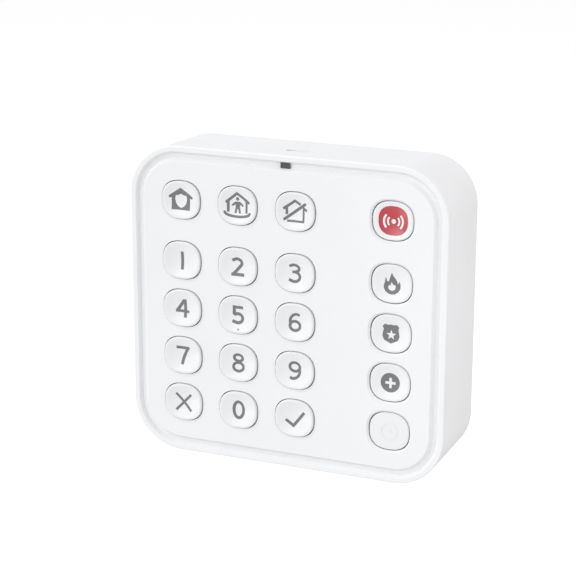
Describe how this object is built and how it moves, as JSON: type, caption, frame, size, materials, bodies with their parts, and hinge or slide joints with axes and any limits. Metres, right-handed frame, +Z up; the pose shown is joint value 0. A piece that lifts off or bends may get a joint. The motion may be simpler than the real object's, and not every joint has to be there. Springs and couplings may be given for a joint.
{
  "type": "alarm keypad panel",
  "caption": "Wall-mounted alarm keypad panel: rounded-square case with a grooved front, number and mode keys, an emergency key column and a lift-off wall plate.",
  "frame": {"origin": "centre of the wall plate's screw pattern, on the wall surface", "axes": "+Y into the wall, so the keys face -Y; +Z up; +X to the right of someone facing the keys"},
  "size_m": [0.1344, 0.0404, 0.1276],
  "materials": {
    "shell_white": "satin moulded ABS, fine spark texture",
    "key_white": "satin moulded plastic, smooth",
    "plate_white": "matte moulded plastic",
    "inset_red": "satin moulded plastic",
    "window_smoke": "smoked clear plastic, gloss",
    "led_lens": "milky epoxy lens",
    "silicone_grey": "moulded silicone rubber",
    "board_green": "solder mask over glass fibre",
    "screw_steel": "zinc plated",
    "chip_black": "moulded epoxy",
    "shield_steel": "tinned sheet steel",
    "plunger_white": "moulded acetal",
    "socket_ivory": "moulded nylon",
    "ribbon_film": "polyester film",
    "siren_black": "moulded plastic",
    "foam_black": "closed-cell foam",
    "battery_wrap": "shrink sleeve",
    "legend_grey": "grey printing on the keys, with no solid of its own",
    "legend_white": "white printing on the red inset, with no solid of its own",
    "lead_red": "insulated wire"
  },
  "bodies": {
    "wall_plate": {"wall_plate": "plate_white"},
    "panel": {"front_cover": "shell_white", "rear_housing": "shell_white", "status_window": "window_smoke", "status_led": "led_lens", "keypad_mat": "silicone_grey", "keypad_board": "board_green", "main_board": "board_green", "keypad_board_screws": "screw_steel", "main_board_screws": "screw_steel", "housing_screws": "screw_steel", "main_board_chips": "chip_black", "radio_shield": "shield_steel", "power_inlet": "shield_steel", "tamper_switch": "chip_black", "ribbon_sockets": "socket_ivory", "ribbon_cable": "ribbon_film", "siren": "siren_black", "siren_gasket": "foam_black", "siren_cradle": "plate_white", "battery_tray": "plate_white", "backup_battery": "battery_wrap", "battery_lead": "lead_red", "battery_plug": "socket_ivory"},
    "tamper_plunger": {"tamper_plunger": "plunger_white"},
    "key_away": {"key_away": "key_white"},
    "key_home": {"key_home": "key_white"},
    "key_off": {"key_off": "key_white"},
    "key_1": {"key_1": "key_white"},
    "key_2": {"key_2": "key_white"},
    "key_3": {"key_3": "key_white"},
    "key_4": {"key_4": "key_white"},
    "key_5": {"key_5": "key_white"},
    "key_6": {"key_6": "key_white"},
    "key_7": {"key_7": "key_white"},
    "key_8": {"key_8": "key_white"},
    "key_9": {"key_9": "key_white"},
    "key_cancel": {"key_cancel": "key_white"},
    "key_0": {"key_0": "key_white"},
    "key_enter": {"key_enter": "key_white"},
    "key_panic": {"key_panic": "key_white", "panic_key_inset": "inset_red"},
    "key_fire": {"key_fire": "key_white"},
    "key_police": {"key_police": "key_white"},
    "key_medical": {"key_medical": "key_white"},
    "key_function": {"key_function": "key_white"}
  },
  "joints": [
    {"name": "panel_lift", "type": "slide", "parent": "wall_plate", "child": "panel", "axis": [0, 0, 1], "range_m": [0, 0.006]},
    {"name": "key_away_press", "type": "slide", "parent": "panel", "child": "key_away", "axis": [0, 1, 0], "range_m": [0, 0.0012], "stiffness_N_per_m": 1200},
    {"name": "key_home_press", "type": "slide", "parent": "panel", "child": "key_home", "axis": [0, 1, 0], "range_m": [0, 0.0012], "stiffness_N_per_m": 1200},
    {"name": "key_off_press", "type": "slide", "parent": "panel", "child": "key_off", "axis": [0, 1, 0], "range_m": [0, 0.0012], "stiffness_N_per_m": 1200},
    {"name": "key_1_press", "type": "slide", "parent": "panel", "child": "key_1", "axis": [0, 1, 0], "range_m": [0, 0.0012], "stiffness_N_per_m": 1200},
    {"name": "key_2_press", "type": "slide", "parent": "panel", "child": "key_2", "axis": [0, 1, 0], "range_m": [0, 0.0012], "stiffness_N_per_m": 1200},
    {"name": "key_3_press", "type": "slide", "parent": "panel", "child": "key_3", "axis": [0, 1, 0], "range_m": [0, 0.0012], "stiffness_N_per_m": 1200},
    {"name": "key_4_press", "type": "slide", "parent": "panel", "child": "key_4", "axis": [0, 1, 0], "range_m": [0, 0.0012], "stiffness_N_per_m": 1200},
    {"name": "key_5_press", "type": "slide", "parent": "panel", "child": "key_5", "axis": [0, 1, 0], "range_m": [0, 0.0012], "stiffness_N_per_m": 1200},
    {"name": "key_6_press", "type": "slide", "parent": "panel", "child": "key_6", "axis": [0, 1, 0], "range_m": [0, 0.0012], "stiffness_N_per_m": 1200},
    {"name": "key_7_press", "type": "slide", "parent": "panel", "child": "key_7", "axis": [0, 1, 0], "range_m": [0, 0.0012], "stiffness_N_per_m": 1200},
    {"name": "key_8_press", "type": "slide", "parent": "panel", "child": "key_8", "axis": [0, 1, 0], "range_m": [0, 0.0012], "stiffness_N_per_m": 1200},
    {"name": "key_9_press", "type": "slide", "parent": "panel", "child": "key_9", "axis": [0, 1, 0], "range_m": [0, 0.0012], "stiffness_N_per_m": 1200},
    {"name": "key_cancel_press", "type": "slide", "parent": "panel", "child": "key_cancel", "axis": [0, 1, 0], "range_m": [0, 0.0012], "stiffness_N_per_m": 1200},
    {"name": "key_0_press", "type": "slide", "parent": "panel", "child": "key_0", "axis": [0, 1, 0], "range_m": [0, 0.0012], "stiffness_N_per_m": 1200},
    {"name": "key_enter_press", "type": "slide", "parent": "panel", "child": "key_enter", "axis": [0, 1, 0], "range_m": [0, 0.0012], "stiffness_N_per_m": 1200},
    {"name": "key_panic_press", "type": "slide", "parent": "panel", "child": "key_panic", "axis": [0, 1, 0], "range_m": [0, 0.0012], "stiffness_N_per_m": 1200},
    {"name": "key_fire_press", "type": "slide", "parent": "panel", "child": "key_fire", "axis": [0, 1, 0], "range_m": [0, 0.0012], "stiffness_N_per_m": 1200},
    {"name": "key_police_press", "type": "slide", "parent": "panel", "child": "key_police", "axis": [0, 1, 0], "range_m": [0, 0.0012], "stiffness_N_per_m": 1200},
    {"name": "key_medical_press", "type": "slide", "parent": "panel", "child": "key_medical", "axis": [0, 1, 0], "range_m": [0, 0.0012], "stiffness_N_per_m": 1200},
    {"name": "key_function_press", "type": "slide", "parent": "panel", "child": "key_function", "axis": [0, 1, 0], "range_m": [0, 0.0012], "stiffness_N_per_m": 1200},
    {"name": "tamper_press", "type": "slide", "parent": "panel", "child": "tamper_plunger", "axis": [0, -1, 0], "range_m": [0, 0.0015], "stiffness_N_per_m": 300}
  ]
}
